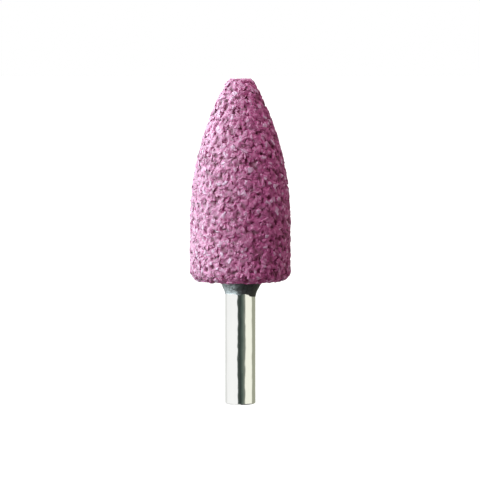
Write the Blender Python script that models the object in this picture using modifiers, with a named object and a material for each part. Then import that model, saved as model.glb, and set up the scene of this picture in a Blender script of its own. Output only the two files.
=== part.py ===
"""A mounted point: a bullet-shaped abrasive head cemented on a round steel mandrel.

Metres, +Z up. The origin is the centre of the shank's free end, on which the point can stand.
The three turned pieces share one frame, the seat, whose zero is the head's underside.
"""

import math

import bmesh
import bpy
from mathutils import Matrix, noise

# Shank, the part of the mandrel that a collet grips
SHANK_DIAMETER = 0.006
SHANK_LENGTH = 0.0243
SHANK_CHAMFER = 0.0002

# Root, the keyed part of the mandrel inside the head, from the seat upwards
ROOT_LEAD = 0.004
KNURL_LENGTH = 0.008
FLUTE_COUNT = 24
FLUTE_DEPTH = 0.00025
LAND_LENGTH = 0.0012
GROOVE_COUNT = 2
GROOVE_DEPTH = 0.0005
GROOVE_FLOOR = 0.0012
ROOT_CHAMFER = 0.0004

# Cement, with the collar that shows under the head
CEMENT_WALL = 0.0003
CEMENT_END = 0.001
CEMENT_CHAMFER = 0.0002
COLLAR_DIAMETER = 0.0088
COLLAR_HEIGHT = 0.0033
COLLAR_EDGE = 0.0003
COLLAR_LIP = 0.00015
# Share by which the collar hangs lower towards +X and ends higher towards -X
COLLAR_SLANT = 0.17

# Head: straight wall, ogive flank, flat crown
HEAD_DIAMETER = 0.020
HEAD_LENGTH = 0.040
HEAD_WALL_HEIGHT = 0.0116
HEAD_CORNER_RADIUS = 0.002
CROWN_DIAMETER = 0.005
CROWN_EDGE_RADIUS = 0.0018

# Grit, the coarse relief that clumps of grain and the pores between them give the head's skin
GRIT_SPACING = 0.0025
GRIT_DEPTH = 0.0006

# Gap that touching pieces keep
CLEARANCE = 0.0003

# Facets
ROD_STEPS = 48
ROUND_STEPS = 5
SHARP_ANGLE = math.radians(30)
MERGE_DISTANCE = 1e-6

SHANK_RADIUS = SHANK_DIAMETER / 2
GROOVE_WIDTH = GROOVE_FLOOR + 2 * GROOVE_DEPTH
KNURL_TOP = ROOT_LEAD + KNURL_LENGTH
ROOT_LENGTH = KNURL_TOP + LAND_LENGTH + GROOVE_COUNT * (GROOVE_WIDTH + LAND_LENGTH)
SLEEVE_RADIUS = SHANK_RADIUS + CLEARANCE + CEMENT_WALL
SLEEVE_TOP = ROOT_LENGTH + CLEARANCE + CEMENT_END
BORE_RADIUS = SLEEVE_RADIUS + CLEARANCE
BORE_DEPTH = SLEEVE_TOP + CLEARANCE

# The head's skin has two facets to each clump, and as many on each quarter
SKIN_STEP = GRIT_SPACING / 2
# Gradient noise has its bumps about 1.7 of its units apart
GRIT_UNIT = GRIT_SPACING / 1.7
HEAD_STEPS = 4 * round(math.pi * HEAD_DIAMETER / SKIN_STEP / 4)


def clear_scene():
    for obj in list(bpy.data.objects):
        bpy.data.objects.remove(obj, do_unlink=True)


def new_collection(name):
    collection = bpy.data.collections.new(name)
    bpy.context.scene.collection.children.link(collection)
    return collection


def make_material(name, colour, roughness, metallic):
    material = bpy.data.materials.new(name)
    material.use_nodes = True
    shader = material.node_tree.nodes["Principled BSDF"]
    shader.inputs["Base Color"].default_value = (*colour, 1)
    shader.inputs["Roughness"].default_value = roughness
    shader.inputs["Metallic"].default_value = metallic
    return material


def arc(centre, radii, start, end, steps):
    """Points of an arc or a quarter ellipse about a centre, from one angle to another in degrees."""
    points = []
    for step in range(steps + 1):
        angle = math.radians(start + (end - start) * step / steps)
        points.append((centre[0] + radii[0] * math.cos(angle), centre[1] + radii[1] * math.sin(angle)))
    return points


def straight(start, end, step):
    """Points from one end of a straight run to the other, about one step apart."""
    count = max(1, round(math.dist(start, end) / step))
    shares = [index / count for index in range(count + 1)]
    return [(start[0] + (end[0] - start[0]) * s, start[1] + (end[1] - start[1]) * s) for s in shares]


def head_outline():
    """From the crown down the outside, across the underside and up into the blind hole."""
    radius = HEAD_DIAMETER / 2
    rise = HEAD_LENGTH - HEAD_WALL_HEIGHT
    inset = radius - CROWN_DIAMETER / 2
    ogive_radius = (rise**2 + inset**2) / (2 * inset)
    ogive_centre = (radius - ogive_radius, HEAD_WALL_HEIGHT)

    # The crown's edge is an arc that touches the crown and the ogive from inside
    edge_height = HEAD_LENGTH - CROWN_EDGE_RADIUS
    reach = ogive_radius - CROWN_EDGE_RADIUS
    edge_angle = math.asin((edge_height - HEAD_WALL_HEIGHT) / reach)
    edge_centre = (ogive_centre[0] + reach * math.cos(edge_angle), edge_height)
    meet = math.degrees(edge_angle)

    corner_centre = (radius - HEAD_CORNER_RADIUS, HEAD_CORNER_RADIUS)
    outline = [(0, HEAD_LENGTH)]
    outline += arc(edge_centre, (CROWN_EDGE_RADIUS,) * 2, 90, meet, ROUND_STEPS)
    ogive_steps = round(ogive_radius * edge_angle / SKIN_STEP)
    outline += arc(ogive_centre, (ogive_radius,) * 2, meet, 0, ogive_steps)[1:]
    outline += straight((radius, HEAD_WALL_HEIGHT), (radius, HEAD_CORNER_RADIUS), SKIN_STEP)[1:]
    outline += arc(corner_centre, (HEAD_CORNER_RADIUS,) * 2, 0, -90, ROUND_STEPS)[1:]
    outline += straight((radius - HEAD_CORNER_RADIUS, 0), (BORE_RADIUS, 0), SKIN_STEP)[1:]
    outline += [(BORE_RADIUS, BORE_DEPTH), (0, BORE_DEPTH)]
    return outline


def root_outline(gap):
    """The root's outer side, top to bottom as far as the knurl, moved outwards by a gap."""
    side = SHANK_RADIUS + gap
    # A corner of 45 degrees slides along its side by this much when the outline moves out
    slide = gap * math.tan(math.radians(45) / 2)
    outline = [
        (0, ROOT_LENGTH + gap),
        (side - ROOT_CHAMFER - gap + slide, ROOT_LENGTH + gap),
        (side, ROOT_LENGTH - ROOT_CHAMFER + slide),
    ]
    for index in range(GROOVE_COUNT):
        top = ROOT_LENGTH - LAND_LENGTH - index * (GROOVE_WIDTH + LAND_LENGTH)
        bottom = top - GROOVE_WIDTH
        floor = side - GROOVE_DEPTH
        outline += [
            (side, top - slide),
            (floor, top - GROOVE_DEPTH - slide),
            (floor, bottom + GROOVE_DEPTH + slide),
            (side, bottom + slide),
        ]
    return outline


def mandrel_outline():
    """From the root's end down to the shank's chamfered free end."""
    outline = root_outline(0)
    outline += [
        (SHANK_RADIUS, KNURL_TOP),
        (SHANK_RADIUS, ROOT_LEAD),
        (SHANK_RADIUS, SHANK_CHAMFER - SHANK_LENGTH),
        (SHANK_RADIUS - SHANK_CHAMFER, -SHANK_LENGTH),
        (0, -SHANK_LENGTH),
    ]
    return outline


def cement_outline():
    """Down the sleeve, round the collar and up its inside, which follows the root."""
    inner = SHANK_RADIUS + CLEARANCE
    collar = COLLAR_DIAMETER / 2
    lip = inner + COLLAR_LIP
    flange_top = -CLEARANCE
    fillet_height = COLLAR_HEIGHT - CLEARANCE - COLLAR_EDGE
    outline = [
        (0, SLEEVE_TOP),
        (SLEEVE_RADIUS - CEMENT_CHAMFER, SLEEVE_TOP),
        (SLEEVE_RADIUS, SLEEVE_TOP - CEMENT_CHAMFER),
        (SLEEVE_RADIUS, flange_top),
        (collar, flange_top),
    ]
    # The collar is hollow like a wet fillet: level under the head, upright along the shank
    outline += arc((collar, -COLLAR_HEIGHT), (lip - collar, fillet_height), 90, 0, 2 * ROUND_STEPS)
    outline.append((inner, -COLLAR_HEIGHT))
    outline += reversed(root_outline(CLEARANCE))
    return outline


def turned(name, outline, steps, collection, seat):
    """A closed solid of revolution about Z, from an outline in the XZ plane."""
    mesh = bpy.data.meshes.new(name)
    points = [(x, 0, z) for x, z in outline]
    edges = [(index, index + 1) for index in range(len(points) - 1)]
    mesh.from_pydata(points, edges, [])
    obj = bpy.data.objects.new(name, mesh)
    collection.objects.link(obj)
    obj.parent = seat
    screw = obj.modifiers.new("Turn", "SCREW")
    screw.axis = "Z"
    screw.angle = math.tau
    screw.steps = steps
    screw.render_steps = steps
    screw.use_merge_vertices = True
    screw.merge_threshold = MERGE_DISTANCE
    return obj


def flute_cutter(collection, seat):
    """A ring of square bars, each with one corner in the mandrel, that cut the straight knurl."""
    bm = bmesh.new()
    middle = ROOT_LEAD + KNURL_LENGTH / 2
    for index in range(FLUTE_COUNT):
        turn = Matrix.Rotation(math.tau * index / FLUTE_COUNT, 4, "Z")
        place = turn @ Matrix.Translation((SHANK_RADIUS, 0, middle))
        bmesh.ops.create_cone(
            bm,
            cap_ends=True,
            segments=4,
            radius1=FLUTE_DEPTH,
            radius2=FLUTE_DEPTH,
            depth=KNURL_LENGTH,
            matrix=place,
        )
    mesh = bpy.data.meshes.new("flute_cutter")
    bm.to_mesh(mesh)
    bm.free()
    cutter = bpy.data.objects.new("flute_cutter", mesh)
    collection.objects.link(cutter)
    cutter.parent = seat
    cutter.hide_render = True
    cutter.display_type = "WIRE"
    return cutter


def cut(obj, cutter):
    boolean = obj.modifiers.new("Cut " + cutter.name, "BOOLEAN")
    boolean.operation = "DIFFERENCE"
    boolean.solver = "EXACT"
    boolean.object = cutter


def apply_modifiers(obj):
    bpy.context.view_layer.update()
    evaluated = obj.evaluated_get(bpy.context.evaluated_depsgraph_get())
    mesh = bpy.data.meshes.new_from_object(evaluated)
    mesh.name = obj.name
    obj.modifiers.clear()
    obj.data = mesh


def roughen(head):
    """Sinks the pores between the clumps into the skin; the hole and its rim under the collar stay true.

    Every dent goes inwards from the trued surface, so the head keeps its diameter and its length.
    """
    normals = [vertex.normal.copy() for vertex in head.data.vertices]
    for vertex, normal in zip(head.data.vertices, normals):
        share = 1.0
        if vertex.co.z < BORE_DEPTH + CLEARANCE:
            radius = math.hypot(vertex.co.x, vertex.co.y)
            share = min(max((radius - COLLAR_DIAMETER / 2) / GRIT_SPACING, 0.0), 1.0)
        pore = min(max(0.25 + 2.0 * noise.noise(vertex.co / GRIT_UNIT), 0.0), 1.0)
        vertex.co -= normal * (GRIT_DEPTH * share * pore)


def slant_collar(cement):
    """Lets the collar hang lower on one side, as wet cement sets on a pin that leans a little."""
    for vertex in cement.data.vertices:
        drop = vertex.co.z + CLEARANCE
        if drop < 0:
            angle = math.atan2(vertex.co.y, vertex.co.x)
            vertex.co.z += drop * COLLAR_SLANT * math.cos(angle)


def finish(obj, material):
    """Gives a piece its material and smooth shading between its sharp edges."""
    obj.data.materials.clear()
    obj.data.materials.append(material)
    obj.data.shade_smooth()
    obj.data.set_sharp_from_angle(angle=SHARP_ANGLE)


def main():
    clear_scene()
    parts = new_collection("mounted_point")
    cutters = new_collection("cutters")

    seat = bpy.data.objects.new("seat", None)
    seat.location = (0, 0, SHANK_LENGTH)
    parts.objects.link(seat)

    head = turned("abrasive_head", head_outline(), HEAD_STEPS, parts, seat)
    apply_modifiers(head)
    roughen(head)
    finish(head, make_material("pink_abrasive", (0.60, 0.26, 0.43), 0.9, 0))

    mandrel = turned("steel_mandrel", mandrel_outline(), ROD_STEPS, parts, seat)
    cut(mandrel, flute_cutter(cutters, seat))
    apply_modifiers(mandrel)
    finish(mandrel, make_material("polished_steel", (0.76, 0.77, 0.74), 0.12, 1))

    cement = turned("cement_bond", cement_outline(), ROD_STEPS, parts, seat)
    apply_modifiers(cement)
    slant_collar(cement)
    finish(cement, make_material("dark_cement", (0.055, 0.056, 0.053), 0.85, 0))


main()
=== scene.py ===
# %% [markdown]
# # A mounted point, from a plain solid to a finished picture
#
# A mounted point is a small grinding wheel on a stick: a moulded head of abrasive grain, a steel
# pin that a collet grips, and the cement that joins them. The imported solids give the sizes. This
# script gives the surfaces: grains that catch the light one by one, a polished pin that mirrors
# the studio, and a rough collar of cement.

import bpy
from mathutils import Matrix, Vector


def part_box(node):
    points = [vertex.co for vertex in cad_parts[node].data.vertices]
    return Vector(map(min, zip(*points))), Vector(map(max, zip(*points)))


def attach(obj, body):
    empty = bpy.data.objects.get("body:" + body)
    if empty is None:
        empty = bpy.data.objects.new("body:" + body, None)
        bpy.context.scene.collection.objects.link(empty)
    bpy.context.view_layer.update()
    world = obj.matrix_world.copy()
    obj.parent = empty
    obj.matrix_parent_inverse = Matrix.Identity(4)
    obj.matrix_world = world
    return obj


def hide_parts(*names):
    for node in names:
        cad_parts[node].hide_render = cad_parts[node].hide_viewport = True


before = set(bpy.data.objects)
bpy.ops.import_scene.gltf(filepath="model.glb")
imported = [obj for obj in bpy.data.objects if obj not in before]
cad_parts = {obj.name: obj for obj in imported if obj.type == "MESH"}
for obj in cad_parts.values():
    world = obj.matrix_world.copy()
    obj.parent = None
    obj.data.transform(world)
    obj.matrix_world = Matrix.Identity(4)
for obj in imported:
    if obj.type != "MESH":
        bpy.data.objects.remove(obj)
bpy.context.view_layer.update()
print("solids:", ", ".join(sorted(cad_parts)))

# %% Libraries
import math
import random

import bmesh
import bpy
from mathutils import Matrix, Vector, noise

MM = 0.001

# %% [markdown]
# ## Sizes
#
# Every size starts from the solids' boxes, so the finished pieces sit where the solids are. Only
# the forms that a box can't tell, such as the curve of the head's flank, are named here again.

# %% Sizes read from the frame
head_low, head_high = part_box("abrasive_head")
pin_low, pin_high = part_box("steel_mandrel")
HEAD_RADIUS = head_high.x
SEAT = head_low.z
HEAD_TOP = head_high.z
PIN_RADIUS = pin_high.x
print(f"head {2 * HEAD_RADIUS / MM:.1f} x {(HEAD_TOP - SEAT) / MM:.1f} mm, pin {2 * PIN_RADIUS / MM:.1f} mm")

# %% Forms of the head
HEAD_WALL_HEIGHT = 11.6 * MM
HEAD_CORNER_RADIUS = 2.0 * MM
CROWN_RADIUS = 2.5 * MM
CROWN_EDGE_RADIUS = 1.8 * MM
BORE_RADIUS = 3.9 * MM
BORE_DEPTH = 21.6 * MM
print(f"wall {HEAD_WALL_HEIGHT / MM:.1f} mm high, crown {2 * CROWN_RADIUS / MM:.1f} mm across")

# %% [markdown]
# ## The head's outline
#
# The head was pressed in a mould, so half of its section says everything about its form: a flat
# crown, a rounded edge, a long arc that runs into a straight wall, a rounded corner and a flat
# underside. A Bezier curve could draw it too, but arcs keep the radii that a mould maker would
# state. Each arc is kept as points a tenth of a millimetre apart. A walk along the outline by
# length then gives the place and the outward direction for a grain anywhere on the surface.

# %% Arc
def arc(centre, radius, start, end, step=0.1 * MM):
    """Points of an arc in the (radius, height) plane, from one angle to another in degrees."""
    count = max(2, round(abs(math.radians(end - start)) * radius / step))
    angles = [math.radians(start + (end - start) * i / count) for i in range(count + 1)]
    return [(centre[0] + radius * math.cos(a), centre[1] + radius * math.sin(a)) for a in angles]


# %% Outline of the head
def head_outline(inset=0.0):
    """The head's outer side from the crown's centre to the underside's bore, moved inwards."""
    wall_top = SEAT + HEAD_WALL_HEIGHT
    rise = HEAD_TOP - wall_top
    narrowing = HEAD_RADIUS - CROWN_RADIUS
    ogive_radius = (rise**2 + narrowing**2) / (2 * narrowing)
    ogive_centre = (HEAD_RADIUS - ogive_radius, wall_top)
    edge_height = HEAD_TOP - CROWN_EDGE_RADIUS
    reach = ogive_radius - CROWN_EDGE_RADIUS
    meet = math.asin((edge_height - wall_top) / reach)
    edge_centre = (ogive_centre[0] + reach * math.cos(meet), edge_height)
    corner_centre = (HEAD_RADIUS - HEAD_CORNER_RADIUS, SEAT + HEAD_CORNER_RADIUS)
    points = [(0.0, HEAD_TOP - inset)]
    points += arc(edge_centre, CROWN_EDGE_RADIUS - inset, 90, math.degrees(meet))
    points += arc(ogive_centre, ogive_radius - inset, math.degrees(meet), 0)[1:]
    points += arc(corner_centre, HEAD_CORNER_RADIUS - inset, 0, -90)
    points.append((BORE_RADIUS, SEAT + inset))
    return points


print("points of the outline:", len(head_outline()))

# %% Walk along the outline
class Walk:
    """Place and outward direction at any length along an outline."""

    def __init__(self, points):
        self.points = points
        self.lengths = [0.0]
        for (r0, z0), (r1, z1) in zip(points, points[1:]):
            self.lengths.append(self.lengths[-1] + math.hypot(r1 - r0, z1 - z0))
        self.total = self.lengths[-1]

    def at(self, length):
        i = 0
        while i < len(self.lengths) - 2 and self.lengths[i + 1] < length:
            i += 1
        (r0, z0), (r1, z1) = self.points[i], self.points[i + 1]
        run = self.lengths[i + 1] - self.lengths[i]
        share = (length - self.lengths[i]) / run
        return r0 + (r1 - r0) * share, z0 + (z1 - z0) * share, (z0 - z1) / run, (r1 - r0) / run


head_walk = Walk(head_outline())
print(f"length of the outline: {head_walk.total / MM:.1f} mm")

# %% [markdown]
# ## From an outline to a solid
#
# Everything but the grains is round, so those pieces start as an outline that is spun about the
# axis. A lathe does the same to real steel. The Screw modifier could do it as well, but a spun
# bmesh can be shaped further point by point before it becomes an object. The ends of each outline
# lie on the axis, so its points there merge into one pole and the solid is closed.

# %% A mesh becomes an object
SHARP_ANGLE = math.radians(35)


def add_object(name, bm, material, smooth):
    """A new object at the origin, in the main collection, that takes over a bmesh."""
    mesh = bpy.data.meshes.new(name)
    bm.to_mesh(mesh)
    bm.free()
    mesh.materials.append(material)
    if smooth:
        mesh.shade_smooth()
        mesh.set_sharp_from_angle(angle=SHARP_ANGLE)
    obj = bpy.data.objects.new(name, mesh)
    bpy.context.scene.collection.objects.link(obj)
    print(f"{name}: {len(mesh.polygons)} faces")
    return obj


# %% An outline becomes a solid
def spun(outline, steps):
    """A closed solid of revolution from an outline whose ends lie on the axis."""
    bm = bmesh.new()
    verts = [bm.verts.new((r, 0, z)) for r, z in outline]
    edges = [bm.edges.new(pair) for pair in zip(verts, verts[1:])]
    bmesh.ops.spin(
        bm,
        geom=verts + edges,
        cent=(0, 0, 0),
        axis=(0, 0, 1),
        angle=math.tau,
        steps=steps,
        use_merge=True,
        use_duplicate=False,
    )
    bmesh.ops.remove_doubles(bm, verts=bm.verts, dist=1e-7)
    bmesh.ops.recalc_face_normals(bm, faces=bm.faces)
    return bm


# %% [markdown]
# ## How a finish is made
#
# Each finish of the object is a Principled shader whose colour comes from a ramp. The ramp turns one
# number, such as a depth or a noise, into a shade. A mix of two colours could do that too, but a
# ramp holds as many shades as the stuff has, and they stand together in one list.

# %% A material and its shader
def new_material(name, roughness, metallic=0.0, specular=0.5):
    """A new material, its node tree and its shader."""
    material = bpy.data.materials.new(name)
    material.use_nodes = True
    shader = material.node_tree.nodes["Principled BSDF"]
    shader.inputs["Roughness"].default_value = roughness
    shader.inputs["Metallic"].default_value = metallic
    shader.inputs["Specular IOR Level"].default_value = specular
    return material, material.node_tree, shader


# %% A colour ramp
def add_ramp(tree, source, stops):
    """A colour ramp fed from a socket; stops are (position, (r, g, b))."""
    ramp = tree.nodes.new("ShaderNodeValToRGB")
    elements = ramp.color_ramp.elements
    while len(elements) < len(stops):
        elements.new(1.0)
    for element, (position, colour) in zip(elements, stops):
        element.position = position
        element.color = (*colour, 1)
    tree.links.new(source, ramp.inputs["Fac"])
    return ramp.outputs["Color"]


# %% [markdown]
# ## The stuff of the head
#
# The head is ruby-pink alumina grain in a glassy bond. Its colour carries painted light and shade: a grain
# is painted pale at its trued top, as if it caught the light, and painted dark, deep magenta down between
# its neighbours, as the shade where light only arrives after many bounces through pink stuff. Image textures
# could show that, but a texture is flat. Here each vertex carries two numbers: its tint, the stuff's own
# tone, which varies from grain to grain and from patch to patch, and its depth under the trued surface,
# which paints the shade. One colour ramp reads both, so the painted shade always agrees with the relief.
# Alumina bends light more than glass does, so the index of refraction is high, which gives the lit side its
# chalky sheen. The pores are dull.

# %% Abrasive
TINT_WEIGHT = 0.5
ABRASIVE_IOR = 2.0
TOP_ROUGHNESS = 0.78
# The first stops are the stuff's own tints, pale to magenta; the later, darker ones are painted shade for
# the depth between grains and in pits.
ABRASIVE_TINTS_AND_PAINTED_SHADE = [
    (0.16, (0.52, 0.26, 0.43)),
    (0.33, (0.46, 0.10, 0.28)),
    (0.48, (0.44, 0.035, 0.21)),
    (0.68, (0.33, 0.009, 0.155)),
    (0.95, (0.19, 0.002, 0.07)),
]


def add_attribute(tree, name):
    """The number that each vertex carries under a name."""
    node = tree.nodes.new("ShaderNodeAttribute")
    node.attribute_name = name
    return node.outputs["Fac"]


def make_abrasive():
    material, tree, shader = new_material("pink_abrasive", roughness=TOP_ROUGHNESS)
    shader.inputs["IOR"].default_value = ABRASIVE_IOR
    depth = add_attribute(tree, "depth")
    place = tree.nodes.new("ShaderNodeMath")
    place.operation = "MULTIPLY_ADD"
    tree.links.new(add_attribute(tree, "tint"), place.inputs[0])
    place.inputs[1].default_value = TINT_WEIGHT
    tree.links.new(depth, place.inputs[2])
    colour = add_ramp(tree, place.outputs[0], ABRASIVE_TINTS_AND_PAINTED_SHADE)
    tree.links.new(colour, shader.inputs["Base Color"])
    roughness = add_ramp(tree, depth, [(0.2, (TOP_ROUGHNESS,) * 3), (0.8, (1.0, 1.0, 1.0))])
    tree.links.new(roughness, shader.inputs["Roughness"])
    return material


abrasive = make_abrasive()
print("shades of the abrasive:", len(ABRASIVE_TINTS_AND_PAINTED_SHADE))

# %% [markdown]
# ## The relief of the head
#
# Pressed grain never packs evenly. It gathers in clumps about two millimetres apart, and here and
# there a grain is missing and leaves an open pit. A displacement texture could raise this relief,
# but the grains have to follow the same hills and hollows. So the relief is a plain function of
# the place, made of gradient noise, and both the bond and every grain ask it how deep they lie.

# %% Clumps, pits and crumbs
CLUMP_UNIT = 1.1 * MM
CLUMP_DEPTH = 0.28 * MM
CLUMP_LEVEL = 0.3
CLUMP_GAIN = 1.5
PIT_UNIT = 0.8 * MM
PIT_DEPTH = 0.32 * MM
PIT_LEVEL = 0.20
CRUMB_UNIT = 0.5 * MM
CRUMB_DEPTH = 0.16 * MM
# Depths over which the head's painted shade, and its dullness, go from none to full.
SHADE_START = 0.1 * MM
SHADE_SPAN = 0.9 * MM


def limited(value):
    """The value itself between 0 and 1, and the nearer of the two outside them."""
    return min(max(value, 0.0), 1.0)


def clump_sink(point):
    """How far the skin sinks between two clumps of grain."""
    hollow = noise.noise((point - Vector((0, 0, SEAT))) / CLUMP_UNIT)
    return CLUMP_DEPTH * limited(CLUMP_LEVEL + CLUMP_GAIN * hollow)


def pit_share(point):
    """Above zero inside one of the open pits that are scattered through the head."""
    return noise.noise(point / PIT_UNIT + Vector((7, 3, 5))) - PIT_LEVEL


def depth_share(height):
    """How deep a point lies under the trued surface, from 0 at the top to 1 in a pit."""
    return limited((SHADE_START - height) / SHADE_SPAN)


print(f"a pit is at most {(CLUMP_DEPTH + PIT_DEPTH + CRUMB_DEPTH) / MM:.2f} mm deep in the bond's skin")

# %% [markdown]
# ## The bond
#
# Between the grains lies the bond, a fused skin that closes the head's surface. It is the outline
# moved a little inwards and spun, with facets of about a fifth of a millimetre, and each of its
# points is then moved along its normal by the relief. Its hole for the pin stays as it was spun,
# because the mould's core pin leaves that smooth.

# %% Height and tint of the bond
PATCH_UNIT = 1.1 * MM
PATCH_SPREAD = 1.1
PIT_RIM = 0.04
PIT_STEEPNESS = 4


def bond_height(point):
    """Height of the bond between the grains: clumps, crumbs, and here and there an open pit."""
    crumbs = noise.noise(point / CRUMB_UNIT) * CRUMB_DEPTH
    pit = limited((pit_share(point) + PIT_RIM) * PIT_STEEPNESS) * PIT_DEPTH
    return crumbs - clump_sink(point) - pit


def patch_tint(point):
    """Tint of the stuff itself, from pale to deep, in patches of a few grains."""
    return limited(0.5 + PATCH_SPREAD * noise.noise(point / PATCH_UNIT + Vector((0, 11, 2))))


# %% Bond of the head
BOND_INSET = 0.13 * MM
BOND_STEP = 0.22 * MM
BOND_FACETS = 280
BORE_MARGIN = 0.05 * MM


def in_bore(point):
    """True on the walls and at the end of the hole for the pin."""
    radius = math.hypot(point.x, point.y)
    return radius < BORE_RADIUS + BORE_MARGIN and point.z < SEAT + BORE_DEPTH + MM


def make_bond():
    outer = Walk(head_outline(BOND_INSET))
    count = round(outer.total / BOND_STEP)
    places = [outer.at(outer.total * i / count) for i in range(count + 1)]
    points = [(0.0, places[0][1])] + [(r, z) for r, z, _, _ in places[1:]]
    points += [(BORE_RADIUS, SEAT + BORE_DEPTH), (0.0, SEAT + BORE_DEPTH)]
    bm = spun(points, steps=BOND_FACETS)
    tint = bm.verts.layers.float.new("tint")
    depth = bm.verts.layers.float.new("depth")
    for vert in bm.verts:
        vert[tint] = patch_tint(vert.co)
        # Depth 1, the ramp's darkest painted shade, stays on the hole's walls; elsewhere the depth under the
        # trued surface paints shade that deepens into the hollows.
        vert[depth] = 1.0
        if not in_bore(vert.co):
            height = bond_height(vert.co)
            vert.co += vert.normal * height
            vert[depth] = depth_share(height - BOND_INSET)
    return add_object("head_bond", bm, abrasive, smooth=True)


bond = make_bond()

# %% [markdown]
# ## The grains
#
# Crushed alumina is angular, so each grain starts as an icosahedron whose corners are pushed about
# at random, and it is stretched into a splinter or a chip. Geometry nodes could scatter instances
# of a few grains, but then all would be alike and none would know the skin it sits in. Two layers
# are grown: a bed of broad chips, and on it slimmer splinters that make the ridges. Every point of
# a grain that would stand proud of the trued surface is pressed back to it, as the diamond dresser
# does to the real head. No grain is placed in a pit, and those at its rim are small. A grain has
# only twenty faces, because there are thousands of them.

# %% Places for the grains
dice = random.Random(24)
ROW_SHARE = 0.87
GRAIN_LEAN = 0.35


def random_direction():
    """A direction in space, all being equally likely."""
    return Vector((dice.gauss(0, 1), dice.gauss(0, 1), dice.gauss(0, 1))).normalized()


def grain_places(spacing):
    """Base point and outward direction for each grain of a layer, ring by ring."""
    places = []
    row = spacing * ROW_SHARE
    rows = round(head_walk.total / row)
    for i in range(rows + 1):
        ring_radius = head_walk.at(min(i * row, head_walk.total))[0]
        count = max(1, round(math.tau * ring_radius / spacing))
        start = dice.random()
        for j in range(count):
            length = min(max((i + dice.uniform(-0.5, 0.5)) * row, 0), head_walk.total)
            r, z, out, up = head_walk.at(length)
            angle = math.tau * (j + start + dice.uniform(-0.5, 0.5)) / count
            point = Vector((r * math.cos(angle), r * math.sin(angle), z))
            normal = Vector((out * math.cos(angle), out * math.sin(angle), up))
            if pit_share(point) < 0.0:
                places.append((point, normal))
    return places


def lying_frame(normal):
    """A frame whose third axis is nearly the outward direction, turned at random about it."""
    third = (normal + random_direction() * GRAIN_LEAN).normalized()
    first = random_direction().cross(third).normalized()
    second = third.cross(first)
    return Matrix((first, second, third)).transposed().to_4x4()


# %% Sizes of the grains
RIDGE_SPACING = 1.0 * MM
RIDGE_RADIUS = 0.42 * MM
RIDGE_DEPTH = 0.22 * MM
BED_SPACING = 0.98 * MM
BED_RADIUS = 0.54 * MM
BED_DEPTH = 0.42 * MM
print(f"a ridge grain every {RIDGE_SPACING / MM:.2f} mm, a bed grain every {BED_SPACING / MM:.2f} mm")


def draw_grain(kind):
    """Radius, depth and stretch of one grain, drawn at random for its layer."""
    if kind == "ridge":
        radius = RIDGE_RADIUS * dice.uniform(0.75, 1.25)
        depth = RIDGE_DEPTH + dice.uniform(-0.12, 0.15) * MM
        return radius, depth, (dice.uniform(1.0, 2.3), dice.uniform(0.5, 0.85), dice.uniform(0.6, 0.9), 1)
    radius = BED_RADIUS * dice.uniform(0.8, 1.2)
    depth = BED_DEPTH + dice.uniform(-0.15, 0.10) * MM
    return radius, depth, (dice.uniform(0.9, 1.4), dice.uniform(0.8, 1.1), dice.uniform(0.6, 0.9), 1)


# %% One grain
GRAIN_JITTER = 0.34
GRAIN_TINT = 0.34
RIM_SIZE = 0.5
RIM_GROWTH = 3.0
TOP_LIMIT = 0.05 * MM


def add_grain(bm, layers, point, normal, kind, cell):
    """One angular grain: a jittered icosahedron whose top is trued to the head's surface."""
    tint_layer, depth_layer, uv_layer = layers
    radius, depth, stretch = draw_grain(kind)
    radius *= limited(RIM_SIZE - RIM_GROWTH * pit_share(point))
    sink = clump_sink(point)
    seat = Matrix.Translation(point - normal * (depth + sink))
    place = seat @ lying_frame(normal) @ Matrix.Diagonal(stretch)
    made = bmesh.ops.create_icosphere(bm, subdivisions=1, radius=radius, matrix=place, calc_uvs=True)
    limit = TOP_LIMIT * dice.uniform(-1.0, 1.0) - sink
    tint = limited(patch_tint(point) + dice.gauss(0, GRAIN_TINT))
    for vert in made["verts"]:
        vert.co += random_direction() * radius * GRAIN_JITTER
        height = (vert.co - point).dot(normal)
        if height > limit:
            vert.co -= normal * (height - limit)
            height = limit
        vert[tint_layer] = tint
        # The grain's depth under the trued top sets its painted shade: darker and more saturated lower down.
        vert[depth_layer] = depth_share(height)
    for face in {f for v in made["verts"] for f in v.link_faces}:
        for loop in face.loops:
            loop[uv_layer].uv = cell[0] + loop[uv_layer].uv * cell[1]


# %% All grains
GRAIN_BATCH = 100


def grow_batch(places, first, across):
    """A mesh of some of the grains, each with its own cell of the UV map."""
    bm = bmesh.new()
    layers = (
        bm.verts.layers.float.new("tint"),
        bm.verts.layers.float.new("depth"),
        bm.loops.layers.uv.new("OFBake"),
    )
    for number, place in enumerate(places[first : first + GRAIN_BATCH], first):
        corner = Vector((number % across, number // across)) / across
        add_grain(bm, layers, *place, cell=(corner, 1 / across))
    batch = bpy.data.meshes.new("batch")
    bm.to_mesh(batch)
    bm.free()
    return batch


def grow_grains():
    """Grains grow in batches, because an operator slows down as its mesh gets larger."""
    places = [(*place, "ridge") for place in grain_places(RIDGE_SPACING)]
    places += [(*place, "bed") for place in grain_places(BED_SPACING)]
    print("grains:", len(places))
    across = math.ceil(math.sqrt(len(places)))
    whole = bmesh.new()
    for first in range(0, len(places), GRAIN_BATCH):
        batch = grow_batch(places, first, across)
        whole.from_mesh(batch)
        bpy.data.meshes.remove(batch)
    return whole


grains = add_object("head_grains", grow_grains(), abrasive, smooth=False)

# %% [markdown]
# ## The pin
#
# The pin is turned from bright steel and polished lengthwise, so what one sees on it is the room:
# white cards, the dark gap between them and a warm reflection on the right. Its shape is an outline
# of five points, spun. The polish isn't perfect. Long shallow waves bend the edges of the
# reflections, and slight changes of shade run along the pin. Both are noise that is stretched
# lengthwise. It is fixed to the object's coordinates, so it stays in place when the camera moves.

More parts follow.
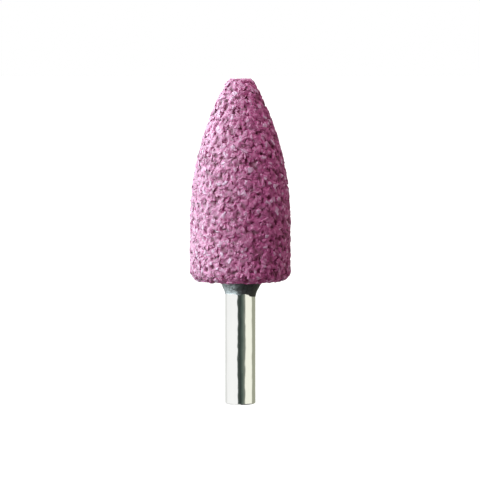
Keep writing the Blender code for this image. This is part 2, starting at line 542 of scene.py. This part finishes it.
# %% Patterns on object coordinates
def object_pattern(tree, scale, stretch=(1, 1, 1), detail=2.0):
    """Noise on object coordinates; scale is the number of its features in a metre."""
    coordinates = tree.nodes.new("ShaderNodeTexCoord")
    mapping = tree.nodes.new("ShaderNodeMapping")
    mapping.inputs["Scale"].default_value = stretch
    tree.links.new(coordinates.outputs["Object"], mapping.inputs["Vector"])
    pattern = tree.nodes.new("ShaderNodeTexNoise")
    pattern.inputs["Scale"].default_value = scale
    pattern.inputs["Detail"].default_value = detail
    tree.links.new(mapping.outputs[0], pattern.inputs["Vector"])
    return pattern.outputs["Fac"]


def add_bump(tree, shader, height, strength, distance):
    """Fine unevenness that only turns the light, with no change of the mesh."""
    bump = tree.nodes.new("ShaderNodeBump")
    bump.inputs["Strength"].default_value = strength
    bump.inputs["Distance"].default_value = distance
    tree.links.new(height, bump.inputs["Height"])
    tree.links.new(bump.outputs[0], shader.inputs["Normal"])


# %% Polished steel
def make_steel():
    material, tree, shader = new_material("polished_steel", roughness=0.07, metallic=1.0)
    shade = object_pattern(tree, scale=260, stretch=(1, 1, 0.12))
    colour = add_ramp(tree, shade, [(0.3, (0.87, 0.875, 0.86)), (0.7, (0.95, 0.955, 0.935))])
    tree.links.new(colour, shader.inputs["Base Color"])
    waves = object_pattern(tree, scale=300, stretch=(1, 1, 0.7))
    add_bump(tree, shader, waves, strength=0.55, distance=0.26 * MM)
    return material


# %% Steel pin
PIN_CHAMFER = 0.2 * MM
PIN_FACETS = 192


def pin_outline():
    """Half of the pin's section, from the centre of its top to the centre of its free end."""
    return [
        (0.0, pin_high.z),
        (PIN_RADIUS, pin_high.z),
        (PIN_RADIUS, pin_low.z + PIN_CHAMFER),
        (PIN_RADIUS - PIN_CHAMFER, pin_low.z),
        (0.0, pin_low.z),
    ]


pin = add_object("steel_pin", spun(pin_outline(), steps=PIN_FACETS), make_steel(), smooth=True)

# %% [markdown]
# ## The collar of cement
#
# The pin is set in the head with dark cement, and what is squeezed out at the mouth is wiped to a
# hollow cone by hand. That is why it leans to one side and ends higher on one side of the pin than
# on the other. It starts as a spun cone with a hollow flank. Then each point is moved by its place
# round the axis: sideways for the lean, in and out for the grit in it, and down to the edge, which
# is given at some azimuths and eased between them.

# %% Cement
def make_cement():
    material, tree, shader = new_material("dark_cement", roughness=0.5)
    blotches = object_pattern(tree, scale=1400, detail=3.0)
    colour = add_ramp(tree, blotches, [(0.38, (0.004, 0.005, 0.004)), (0.62, (0.024, 0.024, 0.023))])
    tree.links.new(colour, shader.inputs["Base Color"])
    add_bump(tree, shader, object_pattern(tree, scale=2600, detail=3.0), strength=0.8, distance=0.08 * MM)
    return material


# %% Edge of the collar
# Millimetres from the head down to the collar's edge, by azimuth: 0 is the camera's side
COLLAR_EDGE = [
    (-180, 2.70),
    (-135, 2.52),
    (-90, 2.50),
    (-50, 2.40),
    (-28, 2.32),
    (-9, 2.56),
    (18, 2.36),
    (50, 2.95),
    (90, 3.10),
    (135, 2.90),
    (180, 2.70),
]


def collar_drop(azimuth):
    """Length of the collar at an azimuth in degrees, eased between the given places."""
    for (a0, d0), (a1, d1) in zip(COLLAR_EDGE, COLLAR_EDGE[1:]):
        if azimuth <= a1:
            share = (azimuth - a0) / (a1 - a0)
            return (d0 + (d1 - d0) * share * share * (3 - 2 * share)) * MM
    return COLLAR_EDGE[-1][1] * MM


print(f"collar: {collar_drop(-28) / MM:.2f} mm long on the left, {collar_drop(90) / MM:.2f} mm on the right")

# %% Outline of the collar
COLLAR_TOP = 4.3 * MM
COLLAR_LIP = 0.1 * MM
COLLAR_SINK = 0.5 * MM
SLEEVE_WALL = 0.6 * MM
SLEEVE_CAP = 0.9 * MM
PIN_OVERLAP = 0.1 * MM
INNER_EDGE = 1.02 * MM
FLANK_STEPS = 24
FLANK_HOLLOW = 1.35


def collar_outline():
    """The sleeve in the head, a rim sunk in its underside and a hollow flank one millimetre long."""
    sleeve = PIN_RADIUS + SLEEVE_WALL
    inner = PIN_RADIUS - PIN_OVERLAP
    points = [(0.0, pin_high.z + SLEEVE_CAP), (sleeve, pin_high.z + SLEEVE_CAP)]
    points += [(sleeve, SEAT + COLLAR_SINK), (COLLAR_TOP + COLLAR_LIP, SEAT + COLLAR_SINK)]
    for i in range(FLANK_STEPS + 1):
        share = i / FLANK_STEPS
        radius = PIN_RADIUS + (COLLAR_TOP - PIN_RADIUS) * (1 - share) ** FLANK_HOLLOW
        points.append((radius, SEAT - share * MM))
    return points + [(inner, SEAT - INNER_EDGE), (inner, pin_high.z), (0.0, pin_high.z)]


print("points of the collar's outline:", len(collar_outline()))


# %% Cement collar
COLLAR_SHIFT = 0.28 * MM
COLLAR_DROP = 2.6 * MM
COLLAR_SKIN = 0.015 * MM
COLLAR_FACETS = 180
GRIT_UNIT = 0.5 * MM
GRIT_DEPTH = 0.07 * MM
RAGGED_TURN = 7
RAGGED_DEPTH = 0.16 * MM
SHAPED_TOP = SEAT + 0.6 * MM


def shape_collar(vert):
    """Moves one point of the spun cone: lean, grit, and the drop to the ragged lower edge."""
    share = (SEAT - vert.co.z) / MM
    radius = math.hypot(vert.co.x, vert.co.y)
    azimuth = math.degrees(math.atan2(vert.co.x, -vert.co.y))
    rough = noise.noise(vert.co / GRIT_UNIT) * GRIT_DEPTH
    ragged = noise.noise(Vector((azimuth / RAGGED_TURN, 0, 3))) * RAGGED_DEPTH
    if radius > PIN_RADIUS - PIN_OVERLAP / 2:
        proud = (radius - PIN_RADIUS) / (COLLAR_TOP - PIN_RADIUS)
        grown = radius + rough * min(proud * 3, 1) + COLLAR_SKIN
        vert.co.x *= grown / radius
        vert.co.y *= grown / radius
        vert.co.x += COLLAR_SHIFT * proud
    if share > 0:
        drop = COLLAR_DROP + share**2 * (collar_drop(azimuth) - COLLAR_DROP)
        vert.co.z = SEAT - share * drop - share**4 * ragged


def make_collar():
    bm = spun(collar_outline(), steps=COLLAR_FACETS)
    for vert in bm.verts:
        if vert.co.z < SHAPED_TOP:
            shape_collar(vert)
    bmesh.ops.recalc_face_normals(bm, faces=bm.faces)
    return add_object("cement_collar", bm, make_cement(), smooth=True)


collar = make_collar()

# %% [markdown]
# ## Who stands for what
#
# Nothing on a mounted point moves by itself, so every piece rides on the one body. Each is listed beside the
# name of its finish and hides the plain solid that it stands for.

# %% Riding
for piece, slot, node in (
    (grains, "pink_abrasive", "abrasive_head"),
    (bond, "pink_abrasive", "abrasive_head"),
    (pin, "polished_steel", "steel_mandrel"),
    (collar, "dark_cement", "cement_bond"),
):
    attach(piece, "root")
    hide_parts(node)
    print(piece.name, "stands for", node)

# %% [markdown]
# ## The ground
#
# The object stands on white paper so bright that only a trace of its shadow is left. A floor lit
# to white would throw a lot of light back on the object. This one is grey to light, and glows for
# the camera's own rays alone, up to just under white, so the shadow stays. It isn't seen in the
# pin, because the cards in the room take its place there.

# %% Floor
FLOOR_HALF = 3.0
FLOOR_GREY = (0.4, 0.4, 0.4)
FLOOR_GLOW = 0.80


def make_floor():
    bm = bmesh.new()
    bmesh.ops.create_grid(bm, x_segments=1, y_segments=1, size=FLOOR_HALF)
    material, tree, shader = new_material("pale_floor", roughness=1.0, specular=0.0)
    shader.inputs["Base Color"].default_value = (*FLOOR_GREY, 1)
    shader.inputs["Emission Color"].default_value = (1, 1, 1, 1)
    path = tree.nodes.new("ShaderNodeLightPath")
    level = tree.nodes.new("ShaderNodeMath")
    level.operation = "MULTIPLY"
    level.inputs[1].default_value = FLOOR_GLOW
    tree.links.new(path.outputs["Is Camera Ray"], level.inputs[0])
    tree.links.new(level.outputs[0], shader.inputs["Emission Strength"])
    floor = add_object("floor", bm, material, smooth=False)
    floor.visible_glossy = False


make_floor()

# %% [markdown]
# ## The room and its cards
#
# A product photographer lights bright metal by what stands round it: white cards to the left and
# right, and a dark gap where the camera is. The world does that here with ramps round the horizon.
# The camera sees plain white. Mirror-like rays see the cards where they run level or a little
# down, and a softbox, brightest on the left, where they run up or steeply down. All other rays see
# the room: a soft, low light that is dim on the left, where the lamps work, and brightest from the
# far right round to the back, as an edge light.

# %% Helpers for the world
def add_math(tree, operation, first, second):
    """A math node; each input is a socket or a number."""
    node = tree.nodes.new("ShaderNodeMath")
    node.operation = operation
    for socket, value in zip(node.inputs, (first, second)):
        if isinstance(value, (int, float)):
            socket.default_value = value
        else:
            tree.links.new(value, socket)
    return node.outputs[0]


def add_background(tree, colour):
    """An even glow; the colour is a socket or three numbers."""
    node = tree.nodes.new("ShaderNodeBackground")
    if isinstance(colour, tuple):
        node.inputs["Color"].default_value = (*colour, 1)
    else:
        tree.links.new(colour, node.inputs["Color"])
    return node.outputs[0]


def mix_shaders(tree, factor, first, second):
    """The first shader where the factor is 0 and the second where it is 1."""
    node = tree.nodes.new("ShaderNodeMixShader")
    tree.links.new(factor, node.inputs[0])
    tree.links.new(first, node.inputs[1])
    tree.links.new(second, node.inputs[2])
    return node.outputs[0]


def smooth_share(tree, value, start, end):
    """Zero at the start, one at the end and smooth between them."""
    node = tree.nodes.new("ShaderNodeMapRange")
    node.interpolation_type = "SMOOTHSTEP"
    node.inputs["From Min"].default_value = start
    node.inputs["From Max"].default_value = end
    tree.links.new(value, node.inputs["Value"])
    return node.outputs["Result"]


# %% Ramps round the horizon
def around(degrees):
    """Place on a ramp of an azimuth: 0 is the camera's side, +90 its right."""
    return (degrees + 180) / 360


ROOM_LEFT = (0.05, 0.05, 0.05)
ROOM_RIGHT = (0.14, 0.15, 0.125)
ROOM_EDGE = (1.8, 1.8, 1.65)
ROOM = [
    (around(-170), ROOM_LEFT),
    (around(-20), ROOM_LEFT),
    (around(12), ROOM_RIGHT),
    (around(60), ROOM_RIGHT),
    (around(100), ROOM_EDGE),
]
CARDS = [
    (around(-180), (0.80, 0.81, 0.80)),
    (around(-126), (0.80, 0.81, 0.80)),
    (around(-118), (1.0, 1.0, 1.0)),
    (around(-24), (1.0, 1.0, 1.0)),
    (around(-20), (0.08, 0.10, 0.09)),
    (around(-2), (0.03, 0.04, 0.035)),
    (around(16), (0.09, 0.12, 0.10)),
    (around(34), (0.22, 0.24, 0.20)),
    (around(42), (0.96, 0.96, 0.84)),
    (around(96), (0.96, 0.96, 0.84)),
    (around(104), (0.34, 0.35, 0.27)),
    (around(180), (0.40, 0.41, 0.33)),
]
SOFTBOX = [
    (around(-178), (0.5, 0.5, 0.5)),
    (around(-105), (1.0, 1.0, 1.0)),
    (around(-70), (0.7, 0.7, 0.7)),
    (around(-25), (0.1, 0.1, 0.1)),
    (around(0), (0.08, 0.08, 0.08)),
]
print("stops of the room, the cards and the softbox:", len(ROOM), len(CARDS), len(SOFTBOX))

# %% World
def horizon_share(tree, parts):
    """The azimuth of a ray as a place on a ramp."""
    towards = add_math(tree, "MULTIPLY", parts.outputs["Y"], -1)
    turn = add_math(tree, "ARCTAN2", parts.outputs["X"], towards)
    share = add_math(tree, "MULTIPLY_ADD", turn, 1 / math.tau)
    share.node.inputs[2].default_value = 0.5
    return share


def make_world():
    world = bpy.data.worlds.new("studio")
    bpy.context.scene.world = world
    world.use_nodes = True
    world.cycles.sampling_method = "NONE"
    tree = world.node_tree
    tree.nodes.clear()
    coordinates = tree.nodes.new("ShaderNodeTexCoord")
    parts = tree.nodes.new("ShaderNodeSeparateXYZ")
    tree.links.new(coordinates.outputs["Generated"], parts.inputs[0])
    share = horizon_share(tree, parts)
    above = smooth_share(tree, parts.outputs["Z"], 0.0, 0.2)
    below = smooth_share(tree, parts.outputs["Z"], -0.5, -0.75)
    steep = add_math(tree, "MAXIMUM", above, below)
    cards = add_background(tree, add_ramp(tree, share, CARDS))
    softbox = add_background(tree, add_ramp(tree, share, SOFTBOX))
    mirrored = mix_shaders(tree, steep, cards, softbox)
    path = tree.nodes.new("ShaderNodeLightPath")
    straight = add_math(tree, "SUBTRACT", path.outputs["Is Glossy Ray"], path.outputs["Diffuse Depth"])
    straight.node.use_clamp = True
    unseen = mix_shaders(tree, straight, add_background(tree, add_ramp(tree, share, ROOM)), mirrored)
    white = add_background(tree, (1.0, 1.0, 1.0))
    output = tree.nodes.new("ShaderNodeOutputWorld")
    tree.links.new(mix_shaders(tree, path.outputs["Is Camera Ray"], unseen, white), output.inputs["Surface"])
    print("nodes of the world:", len(tree.nodes))


make_world()

# %% [markdown]
# ## Three lamps
#
# The key light is large, high and to the left, and shows the relief. The second lamp is a softbox
# far round to the left. It is set to gloss and not to light, so it makes the trued grains shine,
# which turns that side pale. The third is a card for the collar alone, because dark cement shows
# its roundness only by its sheen, from pale on the left to nearly black on the right. Area lamps
# could stand there, but suns with a wide angle light evenly at any size, which matters for an
# object of six centimetres. The softbox and the card work on dull pieces alone, as a photographer
# flags a lamp off bright metal, because the pin already mirrors its own cards.

# %% Lamps
def add_sun(name, azimuth, elevation, width, level):
    """A wide soft sun; azimuth 0 is the camera's side and +90 its right. Level 1 lights white to 1."""
    turn = math.radians(azimuth)
    tilt = math.radians(elevation)
    way = Vector((math.sin(turn) * math.cos(tilt), -math.cos(turn) * math.cos(tilt), math.sin(tilt)))
    data = bpy.data.lights.new(name, "SUN")
    data.angle = math.radians(width)
    data.energy = level * math.pi
    lamp = bpy.data.objects.new(name, data)
    bpy.context.scene.collection.objects.link(lamp)
    lamp.location = way
    lamp.rotation_euler = (-way).to_track_quat("-Z", "Y").to_euler()
    print(f"{name}: azimuth {azimuth}, elevation {elevation}, {width} degrees wide, level {level}")
    return lamp


# %% Key
add_sun("key", azimuth=-42, elevation=45, width=40, level=0.76)

# %% Softbox that only glosses
GLOSS_COLOUR = (0.80, 0.95, 1.0)
GLOSS_WIDTH = 84


def add_gloss(name, azimuth, elevation, level, pieces):
    """A lamp kept off everything but some pieces, which it glosses and doesn't light."""
    lamp = add_sun(name, azimuth, elevation, GLOSS_WIDTH, level)
    lamp.data.color = GLOSS_COLOUR
    glossed = bpy.data.collections.new(f"{name}_pieces")
    for piece in pieces:
        glossed.objects.link(piece)
    lamp.light_linking.receiver_collection = glossed
    lamp.visible_diffuse = False


add_gloss("gloss", azimuth=-90, elevation=15, level=8.2, pieces=(grains, bond, collar))

# %% Card for the collar
add_gloss("card", azimuth=-62, elevation=12, level=26.0, pieces=(collar,))

# %% [markdown]
# ## The camera
#
# The photograph was taken from a little above, from far enough that the pin's sides look parallel.
# Its scale was read in pixels for each millimetre of the head, and the camera is placed so that the
# axis and the underside of the head fall on the pixels where the photograph has them.

# %% Camera
PIXELS_PER_MM = 5.07
IMAGE_SIDE = 480
CAMERA_DISTANCE = 0.6
CAMERA_ELEVATION = math.radians(4.3)
AXIS_PIXEL = 240.3
SEAT_PIXEL = 281.0
SENSOR = 36.0


def add_camera():
    data = bpy.data.cameras.new("camera")
    data.sensor_width = SENSOR
    data.lens = SENSOR * CAMERA_DISTANCE * PIXELS_PER_MM / MM / IMAGE_SIDE
    data.clip_end = 20
    camera = bpy.data.objects.new("camera", data)
    bpy.context.scene.collection.objects.link(camera)
    rise = (SEAT_PIXEL - IMAGE_SIDE / 2) / (PIXELS_PER_MM * math.cos(CAMERA_ELEVATION)) * MM
    side = (IMAGE_SIDE / 2 - AXIS_PIXEL) / PIXELS_PER_MM * MM
    target = Vector((side, 0, SEAT + rise))
    way = Vector((0, -math.cos(CAMERA_ELEVATION), math.sin(CAMERA_ELEVATION)))
    camera.location = target + way * CAMERA_DISTANCE
    camera.rotation_euler = (-way).to_track_quat("-Z", "Y").to_euler()
    bpy.context.scene.camera = camera
    print(f"lens: {data.lens:.0f} mm at {CAMERA_DISTANCE} m")


add_camera()
bpy.context.scene.view_settings.view_transform = "Standard"
